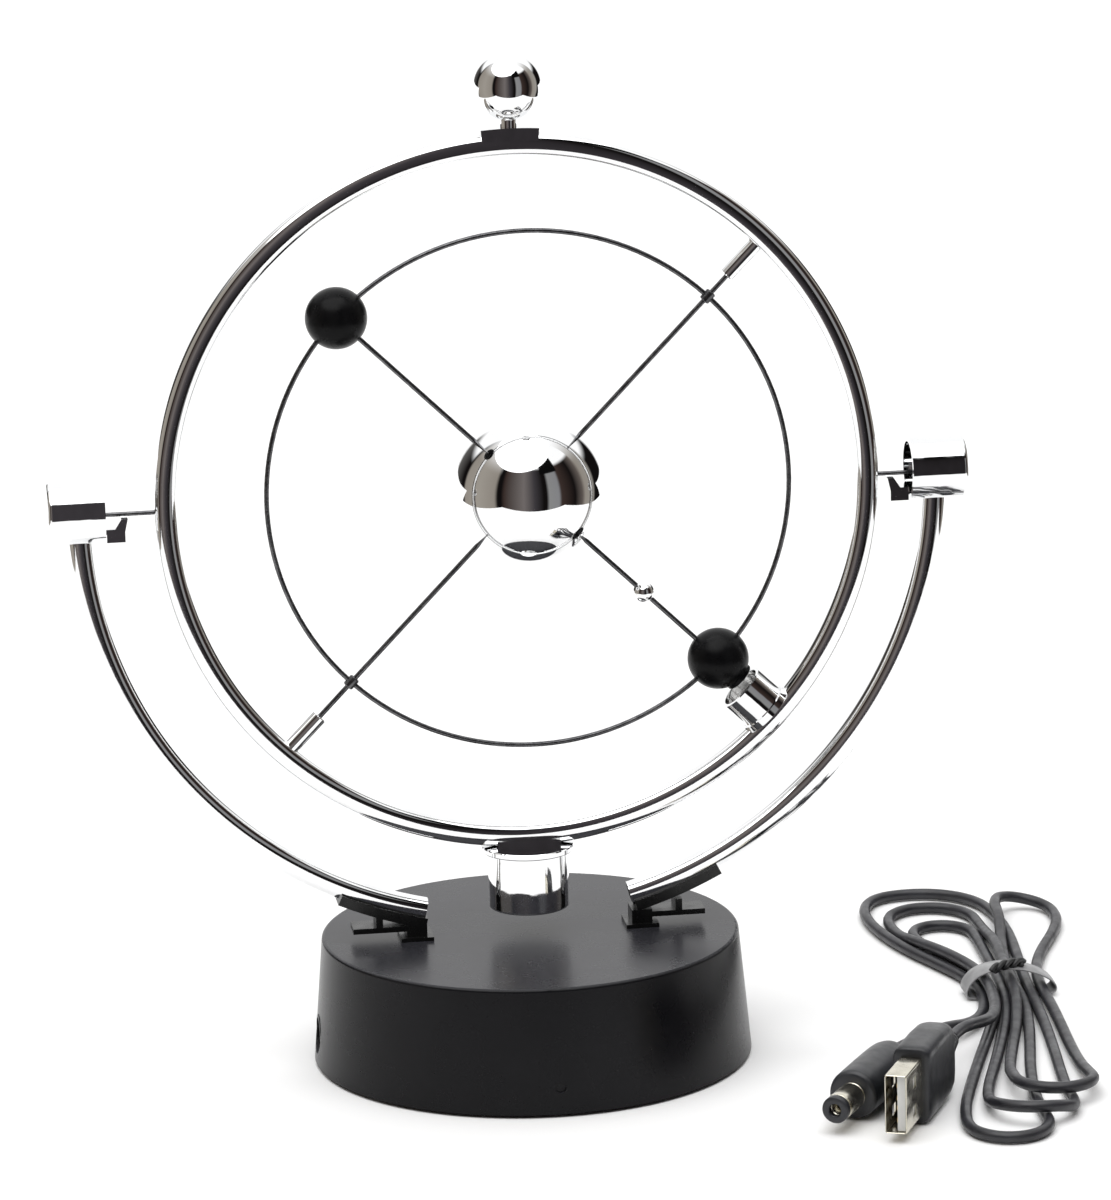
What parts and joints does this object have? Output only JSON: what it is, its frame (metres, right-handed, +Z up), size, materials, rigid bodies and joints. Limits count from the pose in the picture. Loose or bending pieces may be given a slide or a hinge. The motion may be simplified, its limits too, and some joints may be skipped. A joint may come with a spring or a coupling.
{
  "type": "newtons cradle",
  "caption": "Desk orbit toy: a rocking outer ring on curved arms carries a spinning wire ring with weighted balls over a round powered base, with its USB lead.",
  "frame": {"origin": "centre of the base's underside, on the table", "axes": "+Z up, +X right along the outer ring's rocking axis, the front faces -Y"},
  "size_m": [0.2199, 0.176, 0.2072],
  "materials": {
    "chrome_plating": "mirror-bright plating",
    "steel_wire": "drawn wire",
    "magnet_nickel": "nickel plated",
    "ball_plastic": "semi-gloss black",
    "base_plastic": "satin black, fine texture",
    "clip_plastic": "satin black",
    "foam": "matt black foam",
    "screw_steel": "zinc plated",
    "bobbin_plastic": "natural nylon",
    "copper_winding": "enamelled copper wire",
    "board": "green solder mask",
    "component_body": "moulded black",
    "cord_pvc": "dark grey PVC",
    "tie_paper": "light grey tie",
    "plug_grip": "moulded black PVC",
    "plug_metal": "nickel plated, slightly warm",
    "usb_insert": "off-white insert"
  },
  "bodies": {
    "base": {"base_shell": "base_plastic", "board_capacitor": "component_body", "board_transistor": "component_body", "bottom_cover": "base_plastic", "circuit_board": "board", "coil_bobbin": "bobbin_plastic", "coil_core": "screw_steel", "cord_dc_end": "cord_pvc", "cord_hank": "cord_pvc", "cord_tie": "tie_paper", "cord_usb_end": "cord_pvc", "cover_screw_1": "screw_steel", "cover_screw_2": "screw_steel", "cover_screw_3": "screw_steel", "dc_plug_barrel": "plug_metal", "dc_plug_grip": "plug_grip", "dc_plug_tip": "plug_grip", "drive_coil": "copper_winding", "foam_pad": "foam", "left_arm": "chrome_plating", "left_arm_clip": "clip_plastic", "left_bearing": "chrome_plating", "left_end_cap": "chrome_plating", "power_jack": "clip_plastic", "right_arm": "chrome_plating", "right_arm_clip": "clip_plastic", "right_bearing": "chrome_plating", "right_end_cap": "chrome_plating", "usb_grip": "plug_grip", "usb_shell": "plug_metal", "usb_tongue": "usb_insert"},
    "ring": {"outer_ring": "chrome_plating", "left_pivot_pin": "steel_wire", "right_pivot_pin": "steel_wire", "upper_axle_sleeve": "chrome_plating", "lower_axle_sleeve": "chrome_plating", "magnet_cup": "chrome_plating", "cup_magnet": "magnet_nickel", "finial_saddle": "chrome_plating", "finial_neck": "chrome_plating", "finial_ball": "chrome_plating", "housing_flange": "chrome_plating", "magnet_housing": "chrome_plating", "drive_magnet": "magnet_nickel"},
    "rotor": {"axle_rod": "steel_wire", "upper_orbit_ferrule": "steel_wire", "lower_orbit_ferrule": "steel_wire", "upper_spoke": "steel_wire", "lower_spoke": "steel_wire", "orbit_wire_upper_left": "steel_wire", "orbit_wire_lower_right": "steel_wire", "ball_magnet": "ball_plastic", "upper_orbit_ball": "ball_plastic", "lower_orbit_ball": "ball_plastic", "spoke_bead": "chrome_plating", "hub_sphere_front": "chrome_plating", "hub_sphere_rear": "chrome_plating"}
  },
  "joints": [
    {"name": "ring_rock", "type": "hinge", "parent": "base", "child": "ring", "pos_m": [0, 0, 0.1175], "axis": [1, 0, 0], "continuous": true},
    {"name": "rotor_spin", "type": "hinge", "parent": "ring", "child": "rotor", "pos_m": [0.00086, 0, 0.11666], "axis": [0.7009, 0, 0.7133], "continuous": true}
  ]
}
